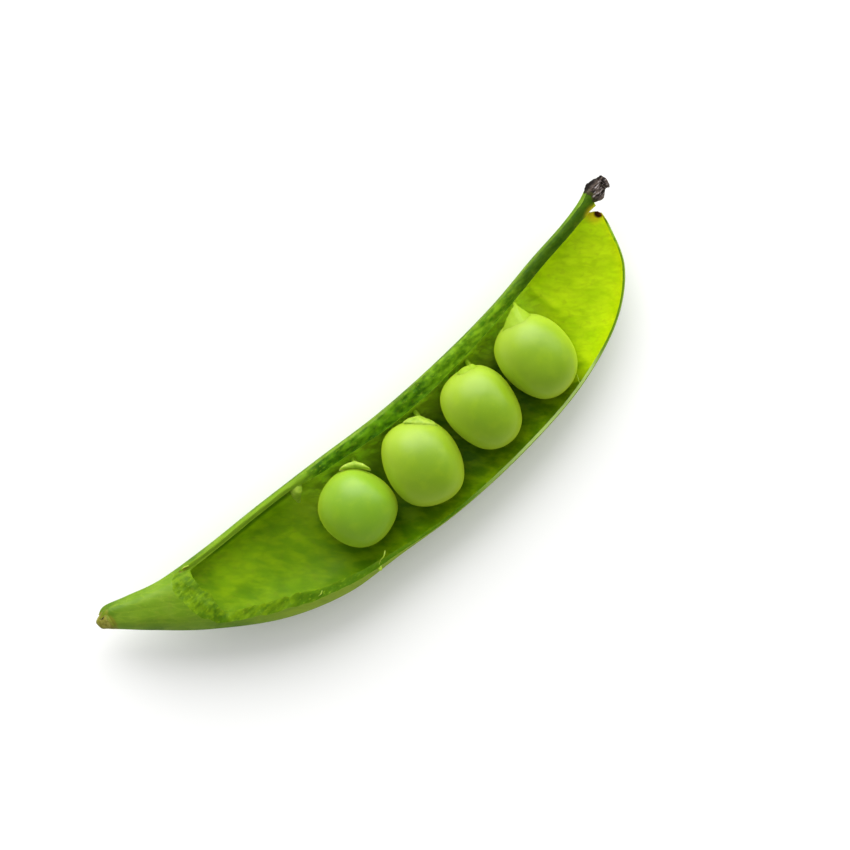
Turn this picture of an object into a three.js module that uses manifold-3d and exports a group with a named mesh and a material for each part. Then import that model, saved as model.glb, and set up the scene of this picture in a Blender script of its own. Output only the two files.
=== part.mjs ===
// An open garden pea pod: one valve of the pod sliced away, four peas in the boat that is left.
// Millimetres, +X from the stem end to the style end, +Y towards the ventral seam, +Z up.
// The pod lies on the rounded back of its whole valve, with the open side up.

import * as THREE from 'three';
import { LoftGeometry } from 'three/addons/geometries/LoftGeometry.js';
import { mergeVertices } from 'three/addons/utils/BufferGeometryUtils.js';
import Module from 'manifold-3d';

const wasm = await Module();
wasm.setup();

// ---- Driving dimensions ------------------------------------------------------------------

// Ribs across the pod, from the stem end to the style end. Each rib runs from the ventral seam
// to the dorsal seam; below is how deep the whole valve is under the rib, and how high the
// sliced valve stood above it. Towards the style the ribs lean and fan out to the tip.
const RIBS = [
  { ventral: [1.7, 0.9], dorsal: [1.5, -2.3], below: 1.25, above: 1.15 },
  { ventral: [4.5, 0.1], dorsal: [4.3, -5.0], below: 1.75, above: 1.6 },
  { ventral: [9.0, -1.15], dorsal: [9.6, -9.5], below: 2.5, above: 2.3 },
  { ventral: [16.0, -1.8], dorsal: [17.3, -14.5], below: 3.6, above: 3.2 },
  { ventral: [24.0, -2.15], dorsal: [25.3, -17.35], below: 4.8, above: 4.2 },
  { ventral: [33.0, -2.7], dorsal: [33.5, -18.1], below: 5.7, above: 5.0 },
  { ventral: [43.0, -3.4], dorsal: [43.0, -18.85], below: 6.0, above: 5.3 },
  { ventral: [53.0, -3.3], dorsal: [53.5, -18.55], below: 6.0, above: 5.2 },
  { ventral: [62.0, -2.65], dorsal: [63.5, -17.2], below: 5.6, above: 4.8 },
  { ventral: [69.5, -1.5], dorsal: [72.0, -14.2], below: 4.4, above: 3.9 },
  { ventral: [75.0, -0.8], dorsal: [77.4, -9.8], below: 2.9, above: 2.6 },
  { ventral: [78.5, -0.05], dorsal: [79.7, -4.5], below: 1.6, above: 1.4 },
  { ventral: [80.4, 0.75], dorsal: [80.3, -1.4], below: 0.9, above: 0.9 },
];

const WALL = 1.1;                 // flesh of a valve
const DORSAL_WALL = 0.7;          // flesh at the dorsal seam
const CAVITY_ENDS = [0.85, 11.2]; // first and last rib of the hollow, counted along RIBS

// Width of the ventral seam with its band of flesh, at places along the pod.
const VENTRAL_WALL = [[0, 0.7], [28, 0.75], [33, 1.5], [43, 2.1], [50, 2.1], [62, 1.5], [80, 1.2]];

// Height of the slice over the seam plane, at its ventral edge and at its dorsal edge.
const SLICE_VENTRAL = [[-5, 2.2], [9, 1.9], [14, 0.7], [30, 0.5], [62, 0.5], [90, 0.3]];
const SLICE_DORSAL = [[-5, 2.7], [9, 2.5], [20, 1.8], [27, 1.5], [38, 0.4], [90, 0.3]];
const SLICE_EDGES = [-2, -17];    // the y of those two edges

// Across a rib the section is (1 - |u|^spread)^round, with u from -1 at the dorsal seam to 1 at
// the ventral seam, and its deepest place moved towards the ventral seam by keel.
const SECTION = { spread: 3.0, round: 0.62, keel: 0.16 };
const BULGE = { height: 0.5, reach: 4.2 }; // where a pea pushes the valve out
const REST_DEPTH = 6.15;          // the valve is pressed flat where it lies, this far under the seams

const GAP = 0.3;                  // clearance between pieces that touch

// Centre in the plane of the seams, radii, and lean about +Z in degrees.
const PEA_LIFT = 0;               // centre of a pea above the seam plane
const PEAS = [
  { centre: [33.2, -10.3], radii: [4.65, 4.9, 4.85], lean: 0 },
  { centre: [42.9, -11.4], radii: [4.85, 5.7, 4.95], lean: -8 },
  { centre: [52.9, -11.2], radii: [4.4, 5.45, 4.9], lean: 0 },
  { centre: [62.15, -10.8], radii: [4.55, 5.5, 4.9], lean: 3 },
];

// Each seed stalk runs from the ventral seam to the shoulder of its pea.
const FUNICLES = [
  { seam: [38.2, -4.9, 0.4], seed: [36.5, -6.6, 0.9] },
  { seam: [48.0, -5.7, 0.4], seed: [46.2, -7.1, 1.1] },
  { seam: [56.3, -5.3, 0.5], seed: [54.9, -6.5, 1.2] },
  { seam: [64.4, -4.0, 0.6], seed: [63.2, -5.6, 1.6] },
];
const FUNICLE = { neck: 0.5, cap: 1.0 };

const SEED = { centre: [28.5, -4.0, 0.1], radii: [0.9, 0.55, 0.6] };

// The cut stalk stands off the stem end; rings of [x, y, width along y, depth along z].
const STEM = [[-0.3, -0.35, 1.7, 1.6], [0.1, -0.35, 2.0, 1.9], [0.7, -0.4, 2.3, 2.0], [1.2, -0.6, 2.8, 2.2]];
const STYLE = [
  [80.75, -0.25, 1.5, 1.3],
  [81.2, -0.15, 2.3, 1.9],
  [81.9, -0.15, 2.4, 1.8],
  [82.6, -0.3, 1.9, 1.4],
  [83.0, -0.4, 1.0, 0.7],
];

// The slit between the ventral band and the tip of the whole valve.
const TIP_SLIT = { from: [78.7, -1.55], to: [81.2, -2.05], width: 0.45 };

const RIB_STEPS = 36;
const RING_SIDES = 24;
const SHORT_RING_SIDES = 12;
const PEA_SIDES = [20, 14];
const REACH = 40;                 // longer than any cut needs to be

// ---- Curves along the pod ----------------------------------------------------------------

const seam = (key) => new THREE.SplineCurve(RIBS.map((rib) => new THREE.Vector2(...rib[key])));
const depth = (key) => new THREE.SplineCurve(RIBS.map((rib, i) => new THREE.Vector2(i, rib[key])));

const ventralSeam = seam('ventral');
const dorsalSeam = seam('dorsal');
const depthBelow = depth('below');
const depthAbove = depth('above');

// Straight lines between [x, value] pairs, level beyond the first and the last.
function alongPod(pairs, x) {
  const next = pairs.findIndex(([at]) => at > x);
  if (next === 0) return pairs[0][1];
  if (next < 0) return pairs.at(-1)[1];
  const [x0, v0] = pairs[next - 1];
  const [x1, v1] = pairs[next];
  return THREE.MathUtils.mapLinear(x, x0, x1, v0, v1);
}

function bulge(x, y) {
  const rise = ({ centre }) => {
    const distance = Math.hypot(x - centre[0], y - centre[1]) / BULGE.reach;
    return BULGE.height * Math.exp(-distance * distance);
  };
  return PEAS.reduce((sum, pea) => sum + rise(pea), 0);
}

// One closed section of the pod at a rib, drawn in by its walls where it bounds the hollow.
function podSection(rib, hollow) {
  const t = rib / (RIBS.length - 1);
  const start = ventralSeam.getPoint(t);
  const end = dorsalSeam.getPoint(t);
  const across = end.clone().sub(start).normalize();
  if (hollow) {
    start.addScaledVector(across, alongPod(VENTRAL_WALL, start.x));
    end.addScaledVector(across, -DORSAL_WALL);
  }
  const wall = hollow ? WALL : 0;
  const below = depthBelow.getPoint(t).y;
  const above = depthAbove.getPoint(t).y;
  const ring = [];
  for (let side = 0; side < RING_SIDES; side += 1) {
    const angle = (2 * Math.PI * side) / RING_SIDES;
    const u = Math.cos(angle);
    const point = start.clone().lerp(end, (1 - u) / 2);
    const offCentre = u - SECTION.keel * (1 - u * u);
    const profile = Math.max(1 - Math.abs(offCentre) ** SECTION.spread, 0) ** SECTION.round;
    const top = Math.sin(angle) > 0;
    const full = top ? above - wall : -(below + bulge(point.x, point.y) - wall);
    const z = Math.max(full * profile, wall - REST_DEPTH);
    ring.push(new THREE.Vector3(point.x, point.y, z));
  }
  return ring;
}

// ---- Solids ------------------------------------------------------------------------------

function solid(geometry) {
  const bare = new THREE.BufferGeometry();
  bare.setAttribute('position', geometry.getAttribute('position'));
  bare.setIndex(geometry.index);
  const merged = mergeVertices(bare);
  return new wasm.Manifold(new wasm.Mesh({
    numProp: 3,
    vertProperties: new Float32Array(merged.getAttribute('position').array),
    triVerts: new Uint32Array(merged.index.array),
  }));
}

function geometryOf(manifold) {
  const mesh = manifold.getMesh();
  const geometry = new THREE.BufferGeometry();
  geometry.setAttribute('position', new THREE.BufferAttribute(mesh.vertProperties, 3));
  geometry.setIndex(new THREE.BufferAttribute(mesh.triVerts, 1));
  geometry.computeVertexNormals();
  return geometry;
}

const loft = (sections) => new LoftGeometry(sections, { capStart: true, capEnd: true });

function podBody(from, to, hollow) {
  const sections = [];
  for (let step = 0; step <= RIB_STEPS; step += 1) {
    sections.push(podSection(THREE.MathUtils.lerp(from, to, step / RIB_STEPS), hollow));
  }
  return solid(loft(sections));
}

// Everything over the slice: a block whose underside is the sliced face.
function sliceBody() {
  const stations = SLICE_VENTRAL.concat(SLICE_DORSAL).map(([x]) => x);
  const sorted = [...new Set(stations)].sort((a, b) => a - b);
  const [yVentral, yDorsal] = SLICE_EDGES;
  const sections = sorted.map((x) => {
    const zVentral = alongPod(SLICE_VENTRAL, x);
    const zDorsal = alongPod(SLICE_DORSAL, x);
    const height = (y) => THREE.MathUtils.mapLinear(y, yVentral, yDorsal, zVentral, zDorsal);
    const far = yDorsal - REACH / 4;
    const near = yVentral + REACH / 4;
    return [
      new THREE.Vector3(x, near, height(near)),
      new THREE.Vector3(x, near, REACH),
      new THREE.Vector3(x, far, REACH),
      new THREE.Vector3(x, far, height(far)),
    ];
  });
  return solid(loft(sections));
}

function peaBody({ centre, radii, lean }, grow) {
  const geometry = new THREE.SphereGeometry(1, ...PEA_SIDES);
  geometry.rotateX(Math.PI / 2);
  geometry.scale(...radii.map((radius) => radius + grow));
  geometry.rotateZ(THREE.MathUtils.degToRad(lean));
  geometry.translate(...centre, PEA_LIFT);
  return solid(geometry);
}

// A short stalk that flares to a rounded cap where it meets its seed.
function funicleBody({ seam: foot, seed }, grow) {
  const start = new THREE.Vector3(...foot);
  const along = new THREE.Vector3(...seed).sub(start);
  const length = along.length();
  const profile = [
    [0, -grow],
    [FUNICLE.neck + grow, -grow],
    [FUNICLE.neck + grow, length * 0.35],
    [FUNICLE.cap + grow, length * 0.8],
    [FUNICLE.cap * 0.8 + grow, length + grow],
    [0, length + grow],
  ].map((pair) => new THREE.Vector2(...pair));
  const geometry = new THREE.LatheGeometry(profile, SHORT_RING_SIDES);
  const up = new THREE.Vector3(0, 1, 0);
  geometry.applyQuaternion(new THREE.Quaternion().setFromUnitVectors(up, along.normalize()));
  geometry.translate(...foot);
  return solid(geometry);
}

function seedBody(grow) {
  const geometry = new THREE.SphereGeometry(1, SHORT_RING_SIDES, SHORT_RING_SIDES / 2);
  geometry.scale(...SEED.radii.map((radius) => radius + grow));
  geometry.translate(...SEED.centre);
  return solid(geometry);
}

// A stub lofted through oval rings of [x, y, width, depth].
function stubGeometry(rings) {
  const sections = rings.map(([x, y, width, height]) => {
    const section = [];
    for (let side = 0; side < SHORT_RING_SIDES; side += 1) {
      const angle = (2 * Math.PI * side) / SHORT_RING_SIDES;
      const dy = (Math.cos(angle) * width) / 2;
      const dz = (Math.sin(angle) * height) / 2;
      section.push(new THREE.Vector3(x, y + dy, dz));
    }
    return section;
  });
  return geometryOf(solid(loft(sections)));
}

function tipSlitBody() {
  const from = new THREE.Vector2(...TIP_SLIT.from);
  const run = new THREE.Vector2(...TIP_SLIT.to).sub(from);
  const geometry = new THREE.BoxGeometry(run.length(), TIP_SLIT.width, REACH);
  geometry.translate(run.length() / 2, 0, 0);
  geometry.rotateZ(run.angle());
  geometry.translate(from.x, from.y, 0);
  return solid(geometry);
}

function shellBody() {
  const whole = podBody(0, RIBS.length - 1, false);
  const hollow = podBody(...CAVITY_ENDS, true);
  const cuts = [
    hollow,
    sliceBody(),
    tipSlitBody(),
    seedBody(GAP),
    ...PEAS.map((pea) => peaBody(pea, GAP)),
    ...FUNICLES.map((funicle) => funicleBody(funicle, GAP)),
  ];
  return cuts.reduce((body, cut) => body.subtract(cut), whole);
}

function clearOfPeas(body) {
  return PEAS.reduce((rest, pea) => rest.subtract(peaBody(pea, GAP)), body);
}

// ---- Materials and the assembled pod -----------------------------------------------------

const skin = (color, roughness) => new THREE.MeshStandardMaterial({ color, roughness, metalness: 0 });

const pod = new THREE.Group();

function addPiece(name, geometry, material) {
  const mesh = new THREE.Mesh(geometry, material);
  mesh.name = name;
  pod.add(mesh);
}

addPiece('pod_shell', geometryOf(shellBody()), skin(0x5f9a1f, 0.5));
PEAS.forEach((pea, i) => {
  addPiece(`pea_${i + 1}`, geometryOf(peaBody(pea, 0)), skin(0xa7c83f, 0.4));
});
FUNICLES.forEach((funicle, i) => {
  const body = clearOfPeas(funicleBody(funicle, 0));
  addPiece(`funicle_${i + 1}`, geometryOf(body), skin(0xc3d98a, 0.6));
});
addPiece('undeveloped_seed', geometryOf(seedBody(0)), skin(0xbcd07a, 0.6));
addPiece('stem_stub', stubGeometry(STEM), skin(0x9c8a4a, 0.8));
addPiece('dried_style', stubGeometry(STYLE), skin(0x4a3a33, 0.9));

// The origin is under the middle of the pod, at the lowest point of its back.
const box = new THREE.Box3().setFromObject(pod, true);
const middle = box.getCenter(new THREE.Vector3());
pod.position.set(-middle.x, -middle.y, -box.min.z);

export default pod;
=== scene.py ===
"""An open garden pea pod lying on the rounded back of its whole valve.

Shapes are worked out in the pod's own plan: millimetres, x from the stem end to the style end,
y towards the ventral seam, and z up from the plane of the two seams. to_frame() places them.
"""
import itertools
import math

import bmesh
import bpy
import numpy as np
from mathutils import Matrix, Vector


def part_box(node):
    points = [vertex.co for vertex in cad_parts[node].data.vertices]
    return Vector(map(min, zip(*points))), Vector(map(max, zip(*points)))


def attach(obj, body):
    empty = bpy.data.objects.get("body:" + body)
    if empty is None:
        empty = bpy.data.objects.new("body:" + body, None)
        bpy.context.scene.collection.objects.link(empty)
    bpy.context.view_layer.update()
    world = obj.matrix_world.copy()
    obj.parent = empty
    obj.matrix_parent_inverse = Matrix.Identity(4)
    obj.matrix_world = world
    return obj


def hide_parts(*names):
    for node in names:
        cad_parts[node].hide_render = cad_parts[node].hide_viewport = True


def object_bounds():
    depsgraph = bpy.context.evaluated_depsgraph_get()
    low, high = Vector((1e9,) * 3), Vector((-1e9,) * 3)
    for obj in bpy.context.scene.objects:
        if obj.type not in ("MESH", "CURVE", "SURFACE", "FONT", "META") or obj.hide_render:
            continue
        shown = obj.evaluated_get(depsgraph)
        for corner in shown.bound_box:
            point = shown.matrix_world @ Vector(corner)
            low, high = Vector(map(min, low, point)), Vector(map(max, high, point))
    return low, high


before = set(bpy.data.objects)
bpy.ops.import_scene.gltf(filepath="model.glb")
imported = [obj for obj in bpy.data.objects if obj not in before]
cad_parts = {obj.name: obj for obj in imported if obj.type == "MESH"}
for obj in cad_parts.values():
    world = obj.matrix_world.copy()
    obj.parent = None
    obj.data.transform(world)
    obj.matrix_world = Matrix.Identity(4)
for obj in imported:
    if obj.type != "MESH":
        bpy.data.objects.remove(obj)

CAD_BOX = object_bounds()
MM = 0.001

# ---- The pod's plan ----------------------------------------------------------------------

PEA_PLAN = [(33.2, -10.3), (42.9, -11.4), (52.9, -11.2), (62.15, -10.8)]
PEA_BOXES = [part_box(f"pea_{i + 1}") for i in range(len(PEA_PLAN))]
PLAN_ORIGIN = (PEA_BOXES[0][0] + PEA_BOXES[0][1]) / 2 - Vector((*PEA_PLAN[0], 0)) * MM
PEA_RADII = [np.array((high - low) / 2) / MM for low, high in PEA_BOXES]

# Ribs from the ventral seam to the dorsal seam: the two ends, the depth of the whole valve
# below the seam plane, and the height of the sliced valve above it.
VENTRAL = [
    (0.45, 0.6), (1.7, 0.95), (4.5, 0.1), (9.0, -1.15), (16.0, -1.8), (24.0, -2.15),
    (33.0, -2.7), (43.0, -3.4), (53.0, -3.3), (62.0, -2.65), (69.5, -1.5), (75.0, -0.8),
    (78.5, -0.05), (80.7, 0.9),
]
DORSAL = [
    (0.35, -1.35), (1.5, -2.4), (4.3, -5.0), (9.6, -9.5), (17.3, -14.5), (25.3, -17.35),
    (33.5, -18.1), (43.0, -18.85), (53.5, -18.55), (63.5, -17.2), (72.0, -14.2), (77.4, -9.8),
    (79.5, -4.6), (79.95, -1.35),
]
BELOW = [0.95, 1.25, 1.75, 2.5, 3.6, 4.8, 5.7, 6.0, 6.0, 5.6, 4.4, 2.9, 1.6, 0.8]
ABOVE = [0.9, 1.15, 1.6, 2.3, 3.2, 4.2, 5.0, 5.3, 5.2, 4.8, 3.9, 2.6, 1.4, 0.8]
LAST_RIB = len(VENTRAL) - 1

# The hollow runs from one place along the ribs to another. The wall under it is WALL thick, or
# a share of the whole valve's depth where that is less.
HOLLOW_RIBS = (3.0, 12.72)
WALL = 1.1
WALL_SHARE = 0.55

# The whole valve is flattened where it rests: how far under the seam plane, how rounded the
# turn onto the flat is, and how far the flat sinks to make up for that turn.
REST_DEPTH = 6.15
FLOOR_ROUNDING = 0.4
FLOOR_SINK = 0.1

# Where the hollow closes towards the stem, and its floor's depth there as a share of the full one.
HOLLOW_END = (9.5, 13.6)
HOLLOW_FLOOR = ((9, 0.45), (20, 1.0))

# The wall's width in plan along the two seams, as x and width.
VENTRAL_WALL = (
    (0, 0.7), (28, 0.75), (33, 1.5), (43, 2.0), (50, 2.05), (62, 1.5), (77, 1.3), (80, 1.6),
)
DORSAL_WALL = ((0, 0.75), (28, 0.65), (36, 0.3), (66, 0.26), (70, 0.17), (80, 0.14))

# A section's shape: how boxy it is, how steep at the seams, and how far its crest is off centre.
SPREAD = 3.0
ROUND = 0.62
KEEL = 0.16

# How far the whole valve bulges under each pea, and how wide.
BULGE_HEIGHT = 0.5
BULGE_REACH = 4.2

# Where a low fold of the lining closes off the row of peas, at each end, as x at y -4, how high
# and wide it is, how far it leans along x with y, and between which y it fades out.
PARTITIONS = (28.3, 67.3)
PARTITION_HEIGHT = 0.45
PARTITION_WIDTH = 0.55
PARTITION_LEAN = 0.2
PARTITION_FADE = (-4.5, -9)

# Swells of the skin and the lining: share of the height, size on each axis, and seed.
WAVES = ((0.012, (6, 3, 9), 3), (0.006, (1.7, 1.7, 4), 4))

# Ridges and a groove that run along the seams: how far each moves the skin towards the ventral
# side, at which angle round the section, and its width.
SEAM_RIDGES = ((0.2, 0, 0.13), (-0.07, 0.4, 0.13), (-0.1, math.pi, 0.12))

# Height of the slice over the seam plane along x, on the dorsal side and at the ventral band.
SLICE_DORSAL = ((0, 1.3), (10.3, 1.3), (14, 1.6), (20, 1.75), (27, 1.5), (38, 0.4), (90, 0.3))
SLICE_VENTRAL = ((0, 0.9), (10.2, 0.9), (13, 0.6), (30, 0.45), (36, 0.6), (62, 0.6), (90, 0.35))

# At the stem end the slice comes up through the wall: its depth under the skin along x, which
# is shifted with y and at the two seams.
PEEL = (
    (0, -3), (8.8, -0.3), (9.3, 0), (10.1, 0.4), (11.3, 0.95), (11.9, 1.3), (12.6, 6), (90, 6),
)
PEEL_LEAN = 0.13
PEEL_CORNER = 1.5

# How the peel's edge wanders along x: how far, size on each axis, and seed.
PEEL_WAVES = ((0.4, (1.5, 1.5, 1), 7), (0.12, (0.5, 0.5, 1), 8))

# Along the ventral band, the height of the slice's crown and how far it drops to the hollow.
BAND_CROWN = ((11, 0.0), (15, 0.35), (28, 0.35), (34, 0.12), (60, 0.12), (66, 0.35), (80, 0.3))
BAND_DROP = ((30, 0.0), (36, 0.6), (58, 0.6), (66, 0.15), (80, 0.1))

# How ragged the sliced face is along the dorsal side and along the ventral band.
RAGGED_DORSAL = ((5, 0.12), (30, 0.1), (38, 0.05), (80, 0.03))
RAGGED_VENTRAL = (
    (8, 0.1), (15, 0.04), (28, 0.05), (34, 0.15), (60, 0.15), (68, 0.06), (80, 0.04),
)

# How many sections the shell and its hollow have, and points round each; then the step and the
# extent of the slice's grid, and how high the solid over it reaches.
SHELL_SECTIONS = 430
SHELL_SIDES = 144
HOLLOW_SECTIONS = 400
HOLLOW_SIDES = 120
GRID_STEP = 0.16
GRID_X = (0.0, 84.0)
GRID_Y = (-22.0, 4.0)
TOOL_TOP = 20.0


def to_frame(points):
    """Plan millimetres to frame metres."""
    return np.asarray(points) * MM + np.array(PLAN_ORIGIN)


def to_plan(points):
    """Frame metres to plan millimetres."""
    return (np.asarray(points) - np.array(PLAN_ORIGIN)) / MM


# ---- Numbers: splines, ramps and noise ---------------------------------------------------

def spline(values, at):
    """A Catmull-Rom curve through evenly spaced values, read at places from 0 to len - 1."""
    values = np.asarray(values, float)
    last = len(values) - 1
    low = np.clip(np.floor(at).astype(int), 0, last - 1)
    w = at - low
    p0, p1 = values[np.maximum(low - 1, 0)], values[low]
    p2, p3 = values[low + 1], values[np.minimum(low + 2, last)]
    if values.ndim > 1:
        w = w[:, None]
    m1, m2 = (p2 - p0) / 2, (p3 - p1) / 2
    return ((2 * p1 - 2 * p2 + m1 + m2) * w ** 3
            + (-3 * p1 + 3 * p2 - 2 * m1 - m2) * w ** 2 + m1 * w + p1)


def ramp(pairs, at):
    """Straight lines between (place, value) pairs."""
    places, values = zip(*pairs)
    return np.interp(at, places, values)


def smooth(low, high, at):
    """0 at low and 1 at high, with a smooth step between; low may be the larger."""
    t = np.clip((at - low) / (high - low), 0, 1)
    return t * t * (3 - 2 * t)


def soft_floor(height, floor):
    """Heights kept above a floor, with a rounded turn onto it."""
    return floor + FLOOR_ROUNDING * np.logaddexp(0, (height - floor) / FLOOR_ROUNDING)


def hump(at, middle, width):
    """A bell of height 1."""
    return np.exp(-(((at - middle) / width) ** 2))


NOISE_TABLE = 4096
NOISE_PRIMES = (73856093, 19349663, 83492791)
NOISE_SHIFT = 17.3


def noise(points, size, seed):
    """Smooth noise from -1 to 1 at points, with features about size across, on each axis."""
    table = np.random.default_rng(seed).uniform(-1, 1, NOISE_TABLE)
    points = np.asarray(points, float)
    scaled = points.reshape(-1, 3) / size + NOISE_SHIFT
    cell = np.floor(scaled).astype(np.int64)
    part = scaled - cell
    part = part * part * (3 - 2 * part)
    total = np.zeros(len(scaled))
    for corner in itertools.product((0, 1), repeat=3):
        at = cell + corner
        mixed = np.bitwise_xor.reduce(at * NOISE_PRIMES, axis=1)
        weight = np.prod(np.where(corner, part, 1 - part), axis=1)
        total += weight * table[mixed % NOISE_TABLE]
    return total.reshape(points.shape[:-1])


def layered(points, layers, start=0):
    """Noises added to start, each with its share, size and seed."""
    return sum((share * noise(points, size, seed) for share, size, seed in layers), start)


def rough(points, size, seed, octaves=3):
    """Noise with finer noise on it."""
    layers = [noise(points, np.array(size) / 2 ** k, seed + k) / 2 ** k for k in range(octaves)]
    return sum(layers)


# ---- Meshes ------------------------------------------------------------------------------

def new_object(name, vertices, faces, materials=(), smooth_angle=40):
    mesh = bpy.data.meshes.new(name)
    mesh.from_pydata([tuple(v) for v in vertices], [], faces)
    mesh.validate()
    for material in materials:
        mesh.materials.append(material)
    obj = bpy.data.objects.new(name, mesh)
    bpy.context.scene.collection.objects.link(obj)
    shade(obj, smooth_angle)
    return obj


def shade(obj, angle):
    obj.data.shade_smooth()
    if angle:
        obj.data.set_sharp_from_angle(angle=math.radians(angle))


def tube_faces(rings, sides, offset=0):
    """Quads between closed rings, with a fan over each end, around two last centre points."""
    faces = []
    for i in range(rings - 1):
        for j in range(sides):
            k = (j + 1) % sides
            a, b = i * sides, (i + 1) * sides
            faces.append((a + j, a + k, b + k, b + j))
    first, last = rings * sides, rings * sides + 1
    end = (rings - 1) * sides
    for j in range(sides):
        k = (j + 1) % sides
        faces.append((first, k, j))
        faces.append((last, end + j, end + k))
    return [tuple(offset + v for v in face) for face in faces]


def tube_points(rings):
    """The rings' points with the two centres of the ends after them."""
    flat = rings.reshape(-1, 3)
    return np.vstack([flat, rings[0].mean(axis=0), rings[-1].mean(axis=0)])


def tubes(name, ring_sets, materials=(), smooth_angle=40):
    """One object of closed tubes, each a list of rings of plan points."""
    points, faces, count = [], [], 0
    for rings in map(np.asarray, ring_sets):
        faces += tube_faces(rings.shape[0], rings.shape[1], count)
        points.append(tube_points(rings))
        count += len(points[-1])
    return new_object(name, to_frame(np.vstack(points)), faces, materials, smooth_angle)


def round_tube(path, radii, sides=12, flatten=1.0):
    """Rings round a path of plan points; flatten makes them thinner along z."""
    path = np.asarray(path, float)
    along = np.gradient(path, axis=0)
    along /= np.linalg.norm(along, axis=1)[:, None]
    side = np.cross(np.array((0.0, 0.0, 1.0)), along)
    side /= np.maximum(np.linalg.norm(side, axis=1), 1e-6)[:, None]
    up = np.cross(along, side)
    angles = np.arange(sides) * 2 * np.pi / sides
    radii = np.asarray(radii, float)[:, None, None]
    spread = side[:, None] * np.cos(angles)[None, :, None]
    lift = up[:, None] * np.sin(angles)[None, :, None] * flatten
    return path[:, None] + radii * (spread + lift)


def fine_path(points, steps):
    """The spline through points, or through rows of numbers, at even steps along it."""
    return spline(points, np.linspace(0, len(points) - 1, steps))


def cut(target, tools):
    """Takes the closed tools out of the closed target and removes them."""
    for tool in tools:
        modifier = target.modifiers.new("cut", "BOOLEAN")
        modifier.operation = "DIFFERENCE"
        modifier.solver = "MANIFOLD"
        modifier.object = tool
        graph = bpy.context.evaluated_depsgraph_get()
        made = bpy.data.meshes.new_from_object(target.evaluated_get(graph))
        target.modifiers.clear()
        old, target.data = target.data, made
        bpy.data.meshes.remove(old)
        bpy.data.objects.remove(tool)


def add_attribute(obj, name, values):
    made = obj.data.attributes.new(name, "FLOAT", "POINT")
    made.data.foreach_set("value", np.asarray(values, np.float32))


def vertices_of(obj):
    flat = np.empty(len(obj.data.vertices) * 3)
    obj.data.vertices.foreach_get("co", flat)
    return flat.reshape(-1, 3)


def mount(obj, slot, *nodes):
    """The piece rides on the pod's one body, in place of its nodes."""
    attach(obj, "root")
    if nodes:
        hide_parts(*nodes)


# ---- The shell's sheets ------------------------------------------------------------------

# The two seams, and the sliced valve's height, at close places along the ribs.
RIB_PLACES = np.linspace(0, LAST_RIB, 600)
SEAM_LINE = spline(VENTRAL, RIB_PLACES)
BACK_LINE = spline(DORSAL, RIB_PLACES)
HEIGHT_LINE = spline(ABOVE, RIB_PLACES)


def seam_distance(x, y):
    """How far under the ventral seam a plan point is, as a share of the band's width."""
    return (np.interp(x, SEAM_LINE[:, 0], SEAM_LINE[:, 1]) - y) / ramp(VENTRAL_WALL, x)


def back_distance(x, y):
    """How far inside the dorsal edge a plan point is, in millimetres."""
    return y - np.interp(x, BACK_LINE[:, 0], BACK_LINE[:, 1])


def swell(u):
    """The height of a section, as a share of its highest, at places from -1 to 1 across it."""
    off_centre = np.abs(u - KEEL * (1 - u * u))
    return np.clip(1 - off_centre ** SPREAD, 0, 1) ** ROUND


def across(x, y):
    """Where a plan point is across the pod, from 1 at the ventral seam to -1 at the dorsal one."""
    top = np.interp(x, SEAM_LINE[:, 0], SEAM_LINE[:, 1])
    bottom = np.interp(x, BACK_LINE[:, 0], BACK_LINE[:, 1])
    return np.clip((2 * y - top - bottom) / (top - bottom), -1, 1)


def skin_height(x, y):
    """The height of the sliced valve's skin over a plan point, before it was sliced."""
    return np.interp(x, SEAM_LINE[:, 0], HEIGHT_LINE) * swell(across(x, y))


def bulge(x, y):
    """How much deeper the whole valve is where a pea presses on it."""
    total = np.zeros_like(x)
    for px, py in PEA_PLAN:
        distance = np.hypot(x - px, y - py) / BULGE_REACH
        total += BULGE_HEIGHT * np.exp(-distance ** 2)
    return total


def pod_rings(ribs, sides, hollow):
    """Closed sections of the pod's skin, or of its hollow, at places along the ribs."""
    start, end = spline(VENTRAL, ribs), spline(DORSAL, ribs)
    width = end - start
    width /= np.linalg.norm(width, axis=1)[:, None]
    if hollow:
        start = start + width * ramp(VENTRAL_WALL, start[:, 0])[:, None]
        end = end - width * ramp(DORSAL_WALL, end[:, 0])[:, None]
    angles = np.arange(sides) * 2 * np.pi / sides
    u = np.cos(angles)
    t = ((1 - u) / 2)[None, :, None]
    plan = start[:, None] * (1 - t) + end[:, None] * t
    x, y = plan[:, :, 0], plan[:, :, 1]
    profile = swell(u)[None]
    deep, high = spline(BELOW, ribs)[:, None], spline(ABOVE, ribs)[:, None]
    wall = np.minimum(WALL, WALL_SHARE * deep) if hollow else 0
    below = -(deep + bulge(x, y) - wall) * profile
    above = (high - wall) * profile
    if hollow:
        closing = np.sqrt(smooth(*HOLLOW_END, x))
        below, above = below * closing * ramp(HOLLOW_FLOOR, x), above * closing
    z = np.where(np.sin(angles)[None] > 1e-9, above, below)
    points = np.stack([x, y, z], axis=2)
    z = z * layered(points, WAVES, start=1)
    z = soft_floor(z, wall - REST_DEPTH - FLOOR_SINK)
    if hollow:
        for place in PARTITIONS:
            crest = hump(x + PARTITION_LEAN * (y + 4), place, PARTITION_WIDTH)
            crest *= 1 - smooth(*PARTITION_FADE, y)
            z = np.where(z < 0, z + PARTITION_HEIGHT * crest, z)
    else:
        turn = np.abs(np.angle(np.exp(1j * angles)))
        shift = sum(far * hump(turn, angle, reach) for far, angle, reach in SEAM_RIDGES)
        plan = plan - width[:, None] * shift[None, :, None]
    return np.concatenate([plan, z[:, :, None]], axis=2)


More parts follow.
